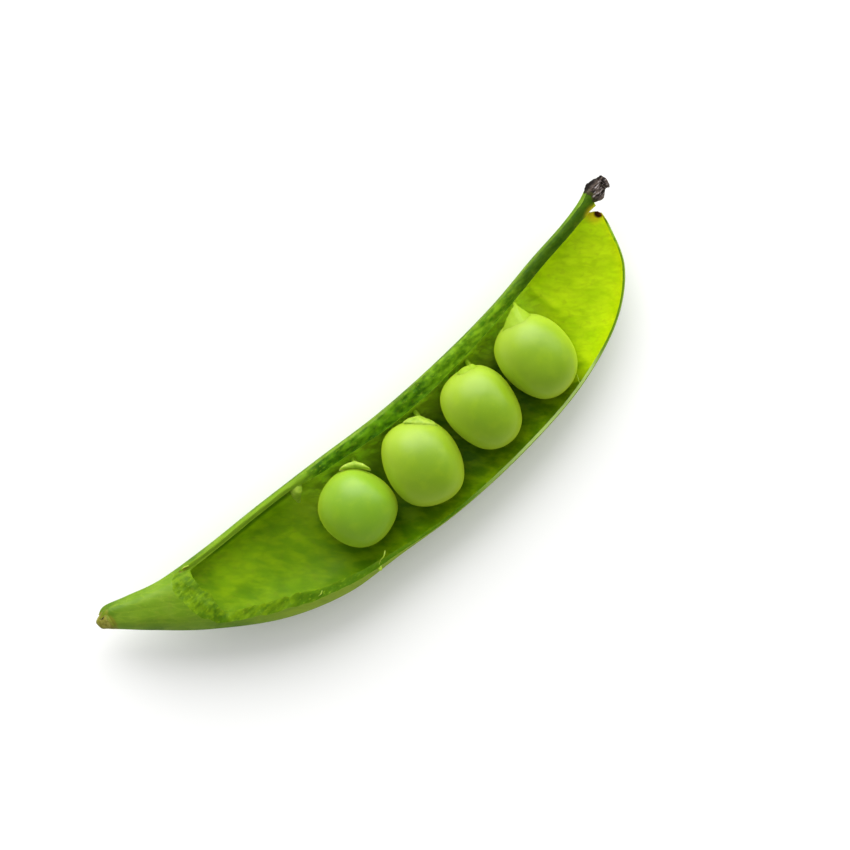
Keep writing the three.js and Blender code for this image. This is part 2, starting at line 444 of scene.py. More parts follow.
def slice_height(x, y):
    """The sliced face over the seam plane: ragged, and rounded along the ventral band."""
    band = np.clip(seam_distance(x, y), 0, 1)
    flat = np.stack([x, y, np.zeros_like(x)], axis=2)
    ventral = ramp(SLICE_VENTRAL, x) + ramp(BAND_CROWN, x) * np.sin(np.pi * band)
    ventral -= ramp(BAND_DROP, x) * smooth(0.25, 1.0, band)
    part = smooth(-4, -13, y)
    height = ventral * (1 - part) + ramp(SLICE_DORSAL, x) * part
    ragged = ramp(RAGGED_VENTRAL, x) * (1 - part) + ramp(RAGGED_DORSAL, x) * part
    torn = rough(flat, 1.0, 5) + 0.7 * noise(flat, (2.2, 0.3, 1), 9)
    lean = x + PEEL_LEAN * (y + 2) - PEEL_CORNER * np.abs(across(x, y)) ** 4
    lean += layered(flat, PEEL_WAVES)
    peel = skin_height(x, y) - ramp(PEEL, lean)
    return np.maximum(height, peel) + ragged * torn


def slice_rings():
    """The solid over the sliced face: one row of the face, and two points far above, for each x."""
    xs = np.arange(*GRID_X, GRID_STEP)
    ys = np.arange(*GRID_Y, GRID_STEP)
    x, y = np.meshgrid(xs, ys, indexing="ij")
    under = np.stack([x, y, slice_height(x, y)], axis=2)
    top = [np.stack([xs, np.full_like(xs, edge), np.full_like(xs, TOOL_TOP)], axis=1)
           for edge in (ys[-1], ys[0])]
    return np.concatenate([under, np.stack(top, axis=1)], axis=1)


# The wedge between the ventral band and the tip of the whole valve, in plan.
WEDGE = [
    (78.6, -1.6), (79.3, -1.95), (79.68, -2.25), (79.82, -2.7), (79.86, -3.4), (82.0, -3.4),
    (82.0, -1.55),
]
WEDGE_REACH = 9.0


def wedge_rings():
    corners = np.array(WEDGE)
    return [[(x, y, z) for x, y in corners] for z in (-WEDGE_REACH, WEDGE_REACH)]


def pod_shell():
    skin, lining, flesh = skin_material(), lining_material(), flesh_material()
    outer = np.linspace(0, LAST_RIB, SHELL_SECTIONS)
    inner = np.linspace(*HOLLOW_RIBS, HOLLOW_SECTIONS)
    shell = tubes("pod_valve", [pod_rings(outer, SHELL_SIDES, False)], [skin, lining, flesh])
    tools = [
        tubes("hollow", [pod_rings(inner, HOLLOW_SIDES, True)], [lining]),
        tubes("above", [slice_rings()], [flesh]),
        tubes("wedge", [wedge_rings()], [flesh]),
    ]
    cut(shell, tools)
    shade(shell, angle=32)
    plan = to_plan(vertices_of(shell))
    add_attribute(shell, "band", seam_distance(plan[:, 0], plan[:, 1]))
    add_attribute(shell, "margin", back_distance(plan[:, 0], plan[:, 1]))
    mount(shell, "pod", "pod_shell")


# ---- Peas --------------------------------------------------------------------------------

# For each pea: its lean in degrees, how much wider it is towards the ventral seam, and how
# flat its sides are towards the stem and towards the style, where its neighbours press.
PEA_FORMS = [
    (16, -0.02, 0.02, 0.05),
    (-20, -0.02, 0.06, 0.03),
    (-4, 0.09, 0.03, 0.05),
    (6, 0.03, 0.05, 0.0),
]

# 2 is a round pea; a higher power is squarer.
SQUARE = 2.18

# A flat side starts and is complete at these shares of the way out.
FLAT_SIDE = (0.6, 1.0)

# Share of the radius, size as a share of it, and the first pea's seed.
PEA_LUMPS = ((0.012, 0.9, 20), (0.003, 0.3, 30))


def ball(subdivisions):
    sphere = bmesh.new()
    bmesh.ops.create_icosphere(sphere, subdivisions=subdivisions, radius=1)
    points = np.array([v.co[:] for v in sphere.verts])
    faces = [tuple(v.index for v in f.verts) for f in sphere.faces]
    sphere.free()
    return points, faces


def turned(points, degrees):
    c = math.cos(math.radians(degrees))
    s = math.sin(math.radians(degrees))
    x = points[:, 0] * c - points[:, 1] * s
    y = points[:, 0] * s + points[:, 1] * c
    return np.stack([x, y, points[:, 2]], axis=1)


def pea(index, material):
    lean, egg, flat_stem, flat_style = PEA_FORMS[index]
    points, faces = ball(subdivisions=5)
    points = points * (np.abs(points) ** SQUARE).sum(axis=1)[:, None] ** (-1 / SQUARE)
    x, y = points[:, 0], points[:, 1]
    points[:, 0] = x * (1 + egg * y)
    points[:, 0] -= flat_style * smooth(*FLAT_SIDE, x) - flat_stem * smooth(*FLAT_SIDE, -x)
    lumps = sum(share * noise(points, size, seed + index) for share, size, seed in PEA_LUMPS)
    points = turned(points * (1 + lumps)[:, None], lean)
    low, high = points.min(axis=0), points.max(axis=0)
    points = (points - (low + high) / 2) / (high - low) * 2 * PEA_RADII[index]
    points += (*PEA_PLAN[index], 0)
    name = f"garden_pea_{index + 1}"
    obj = new_object(name, to_frame(points), faces, [material], smooth_angle=0)
    mount(obj, "pea", f"pea_{index + 1}")


# ---- Seed stalks -------------------------------------------------------------------------

# Each stalk's cap wraps the shoulder of its pea from one angle in plan to another. Radii are
# shares of the pea's own: where the cap starts on it, and how far it stands out at its ends
# and at its peak, which is a share of the way along. Then the heights of its rim and peak, how
# sharp the peak is, and how domed and how lumpy the cap is.
CAPS = [
    dict(angles=(74, 28), inner=1.0, ends=1.05, peak=1.21, at=0.5,
         rim=1.6, top=1.1, sharp=0.6, dome=0.35, lumps=0.13),
    dict(angles=(72, 22), inner=0.86, ends=0.98, peak=1.1, at=0.5,
         rim=1.8, top=1.3, sharp=0.6, dome=0.3, lumps=0.13),
    dict(angles=(84, 40), inner=0.7, ends=0.98, peak=1.08, at=0.6,
         rim=1.7, top=1.3, sharp=0.8, dome=0.15, lumps=0.06),
    dict(angles=(106, 48), inner=0.66, ends=0.97, peak=1.3, at=0.66,
         rim=1.6, top=0.9, sharp=1.5, dome=0.1, lumps=0.05),
]
CAP_STEPS = 64
CAP_SIDES = 20

# Half of a cap's thickness, how far its inner edge is sunk into the pea, and how much its outer
# edge wavers, as a share of the pea's radius.
CAP_HALF_THICKNESS = 0.2
CAP_SUNK = 0.22
CAP_WAVER = 0.012

# Where each stalk meets the seam, how far under its cap's peak it starts, and its radius at
# the cap and at the seam.
STALK_FEET = [(36.9, -4.3, -2.6), (46.6, -4.7, -2.6), (55.5, -4.5, -2.6), (64.4, -3.7, -0.4)]
STALK_DROP = [3.2, 3.4, 3.4, 0.4]
STALK_RADII = (0.35, 0.3)
STALK_STEPS = 12


def cap_rings(index, angles, inner, ends, peak, at, rim, top, sharp, dome, lumps):
    """A thin lens from the pea's surface out to the cap's free edge, swept round the pea."""
    p = np.linspace(0, 1, CAP_STEPS)
    turn = np.radians(angles[0] + (angles[1] - angles[0]) * p)
    rise = np.where(p < at, p / at, (1 - p) / (1 - at)) ** sharp
    radii = PEA_RADII[index]
    direction = np.stack([np.cos(turn) * radii[0], np.sin(turn) * radii[1]], axis=1)
    centre = np.array(PEA_PLAN[index])
    taper = np.sin(np.pi * np.clip(p * 0.96 + 0.02, 0, 1)) ** 0.5
    waver = noise(np.stack([p * 9, p, p], axis=1), 1.0, 45 + index)
    outer = ends + (peak - ends) * rise + CAP_WAVER * waver
    low = inner + (ends - inner) * (1 - taper)
    height = radii[2] * np.sqrt(np.clip(1 - low ** 2, 0.04, 1)) - CAP_SUNK
    edge_height = rim + (top - rim) * rise
    start = np.concatenate([centre + direction * low[:, None], height[:, None]], axis=1)
    end = np.concatenate([centre + direction * outer[:, None], edge_height[:, None]], axis=1)
    angle = np.arange(CAP_SIDES) * 2 * np.pi / CAP_SIDES
    along = (1 - np.cos(angle)) / 2
    rings = start[:, None] * (1 - along)[None, :, None] + end[:, None] * along[None, :, None]
    thick = CAP_HALF_THICKNESS * taper[:, None] * np.sin(angle)[None]
    crown = dome * taper[:, None] * np.sin(np.pi * along)[None]
    rings[:, :, 2] += thick + crown
    rings[:, :, 2] += lumps * rough(rings, 0.8, 40 + index) * taper[:, None]
    return rings[:, ::-1]


def seed_stalk(index, material):
    rings = cap_rings(index, **CAPS[index])
    middle = int(CAPS[index]["at"] * len(rings))
    tip = rings[middle].mean(axis=0) - (0, 0, STALK_DROP[index])
    foot = np.array(STALK_FEET[index])
    path = fine_path([tip, tip * 0.6 + foot * 0.4, foot], STALK_STEPS)
    stalk = round_tube(path, np.linspace(*STALK_RADII, STALK_STEPS))
    obj = tubes(f"seed_stalk_{index + 1}", [rings, stalk], [material], smooth_angle=60)
    mount(obj, "funicle", f"funicle_{index + 1}")


# Points along the undeveloped seed, and its radius at shares of the way along it.
SMALL_SEED_PATH = [
    (30.0, -3.2, -0.3), (29.4, -3.4, 0.05), (28.8, -3.8, -0.2), (28.4, -4.4, -1.2),
    (28.1, -5.1, -2.4),
]
SMALL_SEED_RADII = ((0, 0.2), (0.2, 0.6), (0.45, 0.8), (0.75, 0.5), (1, 0.15))
SMALL_SEED_STEPS = 32


def small_seed(material):
    path = fine_path(SMALL_SEED_PATH, SMALL_SEED_STEPS)
    radii = ramp(SMALL_SEED_RADII, np.linspace(0, 1, SMALL_SEED_STEPS))
    rings = round_tube(path, radii, sides=16, flatten=0.7)
    rings += 0.08 * noise(rings, 0.7, 49)[:, :, None]
    obj = tubes("small_seed", [rings], [material], smooth_angle=60)
    mount(obj, "funicle", "undeveloped_seed")


# ---- The two ends ------------------------------------------------------------------------

def oval_rings(path, sizes, sides, lump, seed):
    """Ovals square to a path of plan points, each with its width and depth, roughened."""
    path = np.asarray(path)
    sizes = np.asarray(sizes) / 2
    rings = round_tube(path, np.ones(len(path)), sides)
    offset = rings - path[:, None]
    depth = offset * (0, 0, 1) + offset * (1, 0, 0)
    flat = offset - depth
    rings = path[:, None] + flat * sizes[:, :1, None] + depth * sizes[:, 1:, None]
    uneven = 1 + lump * rough(rings, 0.6, seed)[:, :, None]
    return path[:, None] + (rings - path[:, None]) * uneven


STALK_END = [
    # x, y, z, width, depth
    (-0.42, -0.2, 0, 0.3, 0.3), (-0.42, -0.2, 0, 0.7, 0.6), (-0.35, -0.2, 0, 1.1, 0.95),
    (-0.12, -0.22, 0, 1.5, 1.35), (0.25, -0.28, 0, 1.9, 1.8), (0.8, -0.4, 0, 2.5, 2.3),
    (1.15, -0.5, 0, 2.85, 2.45), (1.35, -0.55, 0, 2.7, 2.3),
]


def stalk_end(material):
    stations = fine_path(STALK_END, steps=48)
    rings = oval_rings(stations[:, :3], stations[:, 3:], sides=64, lump=0.03, seed=50)
    obj = tubes("stalk_end", [rings], [material], smooth_angle=50)
    mount(obj, "stem", "stem_stub")


STYLE_TUFT = [
    # x, y, z, width, depth
    (79.8, -0.3, 0, 1.7, 1.2), (80.3, -0.26, 0, 2.15, 1.5), (80.9, -0.12, 0, 2.4, 1.75),
    (81.5, 0.0, 0.1, 2.2, 1.6), (82.0, 0.02, 0.35, 1.95, 1.3), (82.35, -0.06, 0.75, 1.75, 1.1),
    (82.48, -0.1, 1.0, 1.65, 1.0), (82.48, -0.1, 1.05, 1.25, 0.7), (82.38, -0.08, 0.8, 0.95, 0.5),
    (82.2, -0.06, 0.4, 0.6, 0.35),
]
STYLE_SIDES = 72

# The tuft's folds: how many, how deep, and how far each ring turns them, in radians.
STYLE_FOLDS = 5
FOLD_DEPTH = 0.09
FOLD_TWIST = 0.12


def style_tuft(material):
    stations = fine_path(STYLE_TUFT, steps=80)
    rings = oval_rings(stations[:, :3], stations[:, 3:], STYLE_SIDES, lump=0.12, seed=60)
    around = np.arange(STYLE_SIDES) * 2 * np.pi / STYLE_SIDES
    middle = stations[:, None, :3]
    twist = FOLD_TWIST * np.arange(len(rings))[:, None]
    fold = 1 + FOLD_DEPTH * np.cos(STYLE_FOLDS * around + twist)
    rings = middle + (rings - middle) * fold[:, :, None]
    obj = tubes("style_tuft", [rings], [material], smooth_angle=50)
    mount(obj, "style", "dried_style")


# Strands left at the slice: points along each, and its radius at even steps along it.
FIBRE_STEPS = 16
FIBRES = [
    ([(32.3, -16.5, 1.35), (31.8, -16.9, 1.75), (31.2, -17.0, 1.7), (30.7, -17.3, 1.4)],
     (0.1, 0.07, 0.05, 0.02)),
    ([(30.9, -17.4, 0.9), (30.5, -17.75, 1.1), (30.2, -17.9, 1.2)], (0.1, 0.12, 0.27, 0.1)),
    ([(64.4, -15.7, -0.2), (64.2, -16.2, 0.35), (63.9, -16.8, 0.6)], (0.07, 0.06, 0.03)),
    ([(12.9, -2.0, 0.7), (12.4, -1.8, 1.1), (12.0, -1.75, 1.0)], (0.1, 0.08, 0.03)),
    ([(23.4, -15.0, 1.5), (23.0, -15.3, 1.75), (22.5, -15.3, 1.7)], (0.09, 0.07, 0.03)),
]


def torn_fibres(material):
    sets = []
    for points, radii in FIBRES:
        path = fine_path(points, FIBRE_STEPS)
        sets.append(round_tube(path, fine_path(radii, FIBRE_STEPS), sides=8))
    mount(tubes("torn_fibres", sets, [material], smooth_angle=60), "pod")


# ---- Materials ---------------------------------------------------------------------------

def colour(code):
    """An sRGB hex code as linear red, green, blue and alpha."""
    parts = [int(code[i:i + 2], 16) / 255 for i in (0, 2, 4)]
    return (*[c / 12.92 if c <= 0.04045 else ((c + 0.055) / 1.055) ** 2.4 for c in parts], 1)


# How far red, green and blue light travel under a surface, against one another.
SCATTER = (1.0, 1.0, 0.3)


class Shader:
    """A material, and short calls that add nodes to it. Lengths are plan millimetres."""

    def __init__(self, name):
        self.material = bpy.data.materials.new(name)
        self.material.use_nodes = True
        self.tree = self.material.node_tree
        self.surface = self.tree.nodes["Principled BSDF"]
        place = self.node("TexCoord").outputs["Object"]
        shift = [-c / MM for c in PLAN_ORIGIN]
        scale = (1 / MM, 1 / MM, 1 / MM)
        mapping = {"Vector": place, "Location": shift, "Scale": scale}
        self.plan = self.node("Mapping", mapping).outputs[0]
        self.axes = self.node("SeparateXYZ", {"Vector": self.plan}).outputs
        self.normal = None

    def node(self, kind, inputs=(), **settings):
        made = self.tree.nodes.new("ShaderNode" + kind)
        for key, value in settings.items():
            setattr(made, key, value)
        for key, value in dict(inputs).items():
            self.put(made.inputs[key], value)
        return made

    def put(self, socket, value):
        if isinstance(value, bpy.types.NodeSocket):
            self.tree.links.new(value, socket)
        else:
            socket.default_value = value

    def stretched(self, size, turn=0.0):
        """The plan with one size, or one per axis, as its unit, turned about z by degrees."""
        rotation = (0, 0, math.radians(turn))
        turned_plan = self.node("Mapping", {"Vector": self.plan, "Rotation": rotation}).outputs[0]
        size = size if isinstance(size, tuple) else (size,) * 3
        scale = [1 / s for s in size]
        return self.node("Mapping", {"Vector": turned_plan, "Scale": scale}).outputs[0]

    def noise(self, size, detail=3.0, turn=0.0):
        inputs = {"Vector": self.stretched(size, turn), "Scale": 1.0, "Detail": detail}
        return self.node("TexNoise", inputs).outputs["Fac"]

    def cells(self, size, feature, turn=0.0, warp=0.0):
        vector = self.stretched(size, turn)
        if warp:
            bend = self.node("TexNoise", {"Vector": vector, "Scale": 1.3, "Detail": 2.0})
            inputs = {0: bend.outputs["Color"], 1: (warp,) * 3, 2: vector}
            vector = self.node("VectorMath", inputs, operation="MULTIPLY_ADD").outputs[0]
        made = self.node("TexVoronoi", {"Vector": vector, "Scale": 1.0}, feature=feature)
        return made.outputs["Distance"]

    def level(self, value, low, high, to_low=0.0, to_high=1.0):
        inputs = {"Value": value, "From Min": low, "From Max": high,
                  "To Min": to_low, "To Max": to_high}
        return self.node("MapRange", inputs, interpolation_type="SMOOTHSTEP").outputs["Result"]

    def attribute(self, name):
        return self.node("Attribute", attribute_name=name).outputs["Fac"]

    def joined(self, operation, values):
        total = values[0]
        for value in values[1:]:
            total = self.node("Math", {0: total, 1: value}, operation=operation).outputs[0]
        return total

    def times(self, *values):
        return self.joined("MULTIPLY", values)

    def plus(self, *values):
        return self.joined("ADD", values)

    def mix(self, share, a, b):
        """Colour a where share is 0 and b where it is 1; a Mix node takes them at 6 and 7."""
        made = self.node("Mix", data_type="RGBA")
        for place, value in ((0, share), (6, a), (7, b)):
            self.put(made.inputs[place], colour(value) if isinstance(value, str) else value)
        return made.outputs[2]

    def near(self, point, inner, outer):
        """1 within inner of a plan point, falling to 0 at outer."""
        offset = self.node("VectorMath", {0: self.plan, 1: point}, operation="DISTANCE")
        return self.level(offset.outputs["Value"], inner, outer, 1.0, 0.0)

    def bump(self, height, millimetres, strength=1.0):
        inputs = {"Height": height, "Distance": millimetres * MM, "Strength": strength}
        if self.normal is not None:
            inputs["Normal"] = self.normal
        self.normal = self.node("Bump", inputs).outputs[0]

    def finish(self, base, roughness, subsurface=0.0, depth=1.0, **constants):
        """Sets the surface. Other constants are named as its sockets are, with _ for a space."""
        self.put(self.surface.inputs["Base Color"], base)
        self.put(self.surface.inputs["Roughness"], roughness)
        if self.normal is not None:
            self.put(self.surface.inputs["Normal"], self.normal)
        self.put(self.surface.inputs["Subsurface Weight"], subsurface)
        self.put(self.surface.inputs["Subsurface Scale"], depth * MM)
        self.put(self.surface.inputs["Subsurface Radius"], SCATTER)
        for key, value in constants.items():
            self.put(self.surface.inputs[key.replace("_", " ")], value)
        return self.material


def end_stains(shader, base):
    """The brown scar at the stalk, and the dark spot and its yellow halo at the valve's tip."""
    patches = shader.noise(0.8)
    base = shader.mix(shader.near((79.0, -2.4, 0), 0.3, 1.7), base, "c4ac14")
    base = shader.mix(shader.near((79.5, -2.5, -0.3), 0.5, 0.8), base, "2a1206")
    uneven = shader.level(patches, 0.35, 0.7, -0.25, 0.25)
    dry = shader.level(shader.plus(shader.level(shader.axes[0], 79.2, 81.2), uneven), 0.35, 0.9)
    dry = shader.times(dry, shader.level(shader.axes[1], -1.7, -1.2))
    base = shader.mix(dry, base, "574822")
    uneven = shader.level(patches, 0.35, 0.7, -0.35, 0.35)
    scar = shader.plus(shader.near((0.5, -0.5, 0.3), 0.9, 2.4), uneven)
    return shader.mix(shader.level(scar, 0.15, 0.95), base, "7c821c")


def skin_material():
    s = Shader("pod_skin")
    base = skin_colour(s)
    s.bump(s.noise(0.3, 4.0), 0.025, 0.5)
    s.bump(s.noise((2.5, 1.2, 2.5), 3.0, 40), 0.12, 0.4)
    roughness = s.level(s.noise(2.0), 0.3, 0.7, 0.36, 0.5)
    return s.finish(base, roughness, subsurface=0.12, depth=0.8, Specular_IOR_Level=0.25)


def skin_colour(s):
    """Mottled green, paler near the dorsal edge, with bloom, streaks, faint veins and specks."""
    base = s.mix(s.level(s.noise(6.0), 0.35, 0.65), "507606", "6a900e")
    margin = s.attribute("margin")
    pale = s.times(s.level(s.axes[0], 12.0, 20.0), s.level(margin, 2.2, 0.6))
    base = s.mix(s.times(pale, 0.6), base, "a0ba28")
    bloom = s.times(s.level(s.noise(2.6, 4.0), 0.42, 0.72), 0.45)
    base = s.mix(bloom, base, "809e28")
    streaks = s.level(s.noise((3.5, 0.5, 2.0), 4.0, 40), 0.5, 0.75)
    base = s.mix(s.times(streaks, 0.3), base, "486c08")
    veins = s.level(s.cells((3.4, 0.9, 3), "DISTANCE_TO_EDGE", 40, 0.5), 0.0, 0.12, 1.0, 0.0)
    base = s.mix(s.times(veins, 0.1), base, "a8c030")
    specks = s.level(s.cells(0.5, "F1"), 0.05, 0.22, 1.0, 0.0)
    base = s.mix(s.times(specks, 0.2), base, "a8c034")
    return end_stains(s, base)


def lining_material():
    """Veined, with painted shade under the peas, near the dorsal edge and under the ventral seam,
    and painted light along the ventral side and at the style end.
    """
    s = Shader("pod_lining")
    x, y = s.axes[0], s.axes[1]
    base = s.mix(s.level(s.noise(4.0, 3.0), 0.35, 0.65), "648e02", "7ca404")
    # Painted light and shade: over the middle the lining is bright just under the ventral band,
    # like light shining through the wall, and dark lower down under and between the peas, where
    # their shade falls.
    middle = s.level(x, 25.0, 32.0)
    deep = s.mix(s.level(x, 43.0, 49.0), "4c7a02", "3a6600")
    base = s.mix(middle, base, s.mix(s.level(y, -5.8, -9.0), "ccec38", deep))
    # Painted shade: darker over the few millimetres next to the dorsal edge, on the slope that
    # catches most light.
    margin = s.attribute("margin")
    base = s.mix(s.level(margin, 6.0, 1.5, 0.0, 0.45), base, "4c7804")
    # Painted light: the style end is brighter and yellower, as if lit through its thin wall.
    tip = s.mix(s.level(s.noise((1.6, 4.0, 3.0), 3.0, -40), 0.38, 0.62), "a8c804", "bedc0c")
    tip = s.mix(s.level(y, -7.0, -12.0, 0.0, 0.7), tip, "a0c404")
    base = s.mix(s.level(x, 63.0, 69.0), base, tip)
    streaks = s.level(s.noise((1.1, 3.0, 3.0), 5.0, -38), 0.38, 0.64)
    # The streaks, the dark patches and the veins below also take brighter tints at the style end,
    # as part of its painted light.
    tint = s.mix(s.level(x, 60.0, 68.0), "90b008", "c8e014")
    base = s.mix(s.times(streaks, 0.5), base, tint)
    shadows = s.level(s.noise((0.9, 2.6, 3.0), 4.0, -52), 0.5, 0.7)
    tint = s.mix(s.level(x, 60.0, 68.0), "567c04", "98b804")
    base = s.mix(s.times(shadows, 0.28), base, tint)
    band = s.attribute("band")
    # Painted shadow: a dark line on the lining just under the ventral seam's ridge, from x 13 to
    # 31.
    seam = s.times(s.level(band, 1.9, 1.3), s.level(x, 13.0, 17.0), s.level(x, 31.0, 27.0), 0.8)
    base = s.mix(seam, base, "2c5a02")
    net = s.level(s.cells((2.1, 0.9, 2), "DISTANCE_TO_EDGE", 38, 1.1), 0.0, 0.25, 1.0, 0.0)
    net = s.times(net, s.level(s.noise(2.5), 0.3, 0.6, 0.05, 0.3))
    base = s.mix(net, base, s.mix(s.level(x, 60.0, 68.0), "5c8604", "92ac06"))
    base = end_stains(s, base)
    s.bump(s.noise((0.8, 2.2, 1.5), 3.0, -38), 0.06, 0.4)
    s.bump(net, 0.05, 0.4)
    roughness = s.level(s.noise(1.5), 0.3, 0.7, 0.42, 0.55)
    return s.finish(base, roughness, subsurface=0.45, depth=2.2, Specular_IOR_Level=0.06)


def flesh_material():
    """The sliced flesh: mottled and flecked, and coloured by stretches along its two sides."""
    s = Shader("pod_flesh")
    x, y = s.axes[0], s.axes[1]
    band = s.attribute("band")
    mottle = s.level(s.noise((1.2, 0.6, 1), 5.0), 0.3, 0.7)
    ends = s.mix(mottle, "4e7204", "6e9008")
    cut_edge = s.times(s.level(x, 18.0, 22.0), s.level(y, -8.0, -12.0, 0.0, 0.7))
    ends = s.mix(cut_edge, ends, "446e04")
    middle = s.mix(mottle, "305c04", "60920a")
    middle = s.mix(s.level(x, 47.0, 54.0, 0.0, 0.7), middle, s.mix(mottle, "508006", "8ab41c"))
    ventral = s.times(s.level(x, 28.0, 34.0), s.level(y, -9.0, -6.0))
    base = s.mix(ventral, ends, middle)
    flecks = s.level(s.noise((0.5, 0.25, 0.5), 3.0), 0.58, 0.74)
    base = s.mix(s.times(flecks, 0.4), base, "9cbc28")
    strip = s.times(s.level(x, 62.0, 68.0), s.level(y, -4.5, -3.5))
    base = s.mix(s.times(strip, 0.85), base, "2c4c04")
    dorsal = s.level(y, -6.0, -10.0)
    rim = s.times(s.level(x, 42.0, 56.0, 0.0, 0.75), s.level(x, 71.0, 65.0))
    base = s.mix(s.times(dorsal, rim), base, "b8d27c")
    low_rim = s.times(dorsal, s.level(x, 66.0, 71.0))
    base = s.mix(s.times(low_rim, 0.85), base, "557c10")
    ridge = s.times(s.level(band, 1.6, 1.2), s.level(x, 33.0, 28.0), s.level(x, 11.0, 15.0), 0.85)
    base = s.mix(ridge, base, "789c20")
    edge = s.times(s.level(band, 0.2, 0.05), s.level(x, 28.0, 33.0))
    edge = s.times(edge, s.level(x, 48.0, 38.0, 0.35, 1.0), 0.75)
    base = s.mix(edge, base, "8db03c")
    torn = s.times(s.level(x, 8.6, 9.6), s.level(x, 13.8, 12.5))
    torn = s.times(torn, s.level(s.noise(0.5), 0.5, 0.6), s.level(band, 1.0, 0.4))
    base = s.mix(torn, base, "6e6a24")
    wet = s.times(s.near((11.4, -8.6, 0.8), 0.4, 3.4), s.level(s.noise(0.9, 4.0), 0.4, 0.6))
    base = s.mix(s.times(wet, 0.8), base, "3c6402")
    base = end_stains(s, base)
    s.bump(s.noise((0.45, 0.25, 0.3), 4.0), 0.07, 0.45)
    roughness = s.level(s.noise(0.6), 0.35, 0.65, 0.36, 0.55)
    return s.finish(base, roughness, subsurface=0.3, depth=0.8, Specular_IOR_Level=0.08)


def pea_material():
    """Painted shade makes a greener spot on the face that looks up, and painted light pales the
    rims;
    with fine specks.
    """
    s = Shader("pea_skin")
    face = s.mix(s.level(s.noise(6.0, 2.0), 0.35, 0.65), "7ca004", "84a808")
    # Painted shade and light: each pea is darker and greener round a spot just off its top, and
    # paler towards its rims.
    shaded_spots = [s.near((x + 0.3, y - 1.0, 4.6), 2.0, 6.6) for x, y in PEA_PLAN]
    base = s.mix(s.plus(*shaded_spots), "a0be30", face)
    base = s.mix(s.level(s.axes[0], 40.0, 36.0, 0.0, 0.5), base, "74a81c")
    base = s.mix(s.level(s.noise(1.4, 4.0), 0.45, 0.8, 0.0, 0.15), base, "b4d00c")
    specks = s.level(s.cells(0.42, "F1"), 0.04, 0.2, 1.0, 0.0)
    base = s.mix(s.times(specks, 0.1), base, "c8dc20")
    s.bump(s.noise(0.35, 3.0), 0.015, 0.35)
    s.bump(s.noise(1.6, 2.0), 0.05, 0.3)
    roughness = s.level(s.noise(1.8), 0.3, 0.7, 0.38, 0.46)
    return s.finish(base, roughness, subsurface=0.6, depth=2.4, Specular_IOR_Level=0.55,
                    Sheen_Weight=0.6, Sheen_Roughness=0.35, Sheen_Tint=colour("d0e81c"))


def stalk_material(name, deep, shallow):
    """Pale green above the shallow height, and a brighter green below the deep one; the brighter
    green is painted light against the shade that the low parts lie in.
    """
    s = Shader(name)
    base = s.mix(s.level(s.noise(0.8, 4.0), 0.35, 0.65), "88aa24", "a6c240")
    base = s.mix(s.level(s.axes[0], 49.0, 52.0, 0.0, 0.8), base, "90b214")
    # Painted light: below the deep height the stalks are a brighter green, against the shade they
    # lie in.
    base = s.mix(s.level(s.axes[2], deep, shallow), "a8cc24", base)
    s.bump(s.noise(0.25, 3.0), 0.04, 0.5)
    roughness = s.level(s.noise(0.5), 0.3, 0.7, 0.4, 0.55)
    return s.finish(base, roughness, subsurface=0.4, depth=1.0, Specular_IOR_Level=0.3)


def scar_material():
    """Dry and olive brown at the cut, turning into the skin's green, with one dark spot."""
    s = Shader("stalk_scar")
    dry = s.mix(s.level(s.noise(0.5, 5.0), 0.35, 0.65), "7a781c", "96943a")
    dry = s.mix(s.level(s.noise(0.3, 2.0), 0.6, 0.7), dry, "bcb070")
    green = s.plus(s.level(s.axes[0], 0.3, 1.5), s.level(s.noise(0.7), 0.35, 0.7, -0.3, 0.3))
    base = s.mix(s.level(green, 0.1, 0.9), dry, skin_colour(s))
    base = s.mix(s.near((0.65, 0.3, 0.9), 0.22, 0.45), base, "1c1408")
    s.bump(s.noise(0.2, 4.0), 0.1, 0.7)
    roughness = s.level(s.noise(0.4), 0.3, 0.7, 0.5, 0.75)
    return s.finish(base, roughness, subsurface=0.1, depth=0.5, Specular_IOR_Level=0.3)


def style_material():
    """Dry, dark and fibrous, with grey patches, and greener where it leaves the pod."""
    s = Shader("dry_style")
    base = s.mix(s.level(s.noise((1.2, 0.3, 0.3), 5.0), 0.38, 0.62), "1c1410", "66584f")
    base = s.mix(s.level(s.noise((0.8, 0.25, 0.25), 3.0), 0.56, 0.68), base, "aea4a2")
    green = s.plus(s.level(s.axes[0], 81.0, 79.9), s.level(s.noise(0.6), 0.35, 0.7, -0.3, 0.3))
    base = s.mix(s.level(green, 0.3, 0.9), base, "3f4210")
    burnt = s.times(s.level(s.axes[1], 0.3, 0.8), s.level(s.axes[0], 82.4, 81.4))
    base = s.mix(burnt, base, "1a120e")
    s.bump(s.noise((0.8, 0.18, 0.18), 4.0), 0.12, 0.9)
    roughness = s.level(s.noise(0.4), 0.3, 0.7, 0.6, 0.9)
    return s.finish(base, roughness, subsurface=0.0, depth=0.5, Specular_IOR_Level=0.3)


def floor_material():
    """Nearly white, but dull green in reflections, so that it doesn't whiten the pod's gloss."""
    s = Shader("studio_floor")
    base = s.mix(s.noise(40.0), "fafaf9", "fcfcfb")
    reflected = s.node("LightPath").outputs["Is Glossy Ray"]
    base = s.mix(s.times(reflected, 0.8), base, "46561e")
    return s.finish(base, 0.7)


# ---- Stage, lights and camera ------------------------------------------------------------

# The camera looks straight down on a plan point and is rolled about its own axis. FIELD is the
# width that it takes in, in plan millimetres.
ROLL = math.radians(41.15)
LOOK_AT = (46.2, -8.1)
FIELD = 104.9
LENS = 120
SENSOR = 36

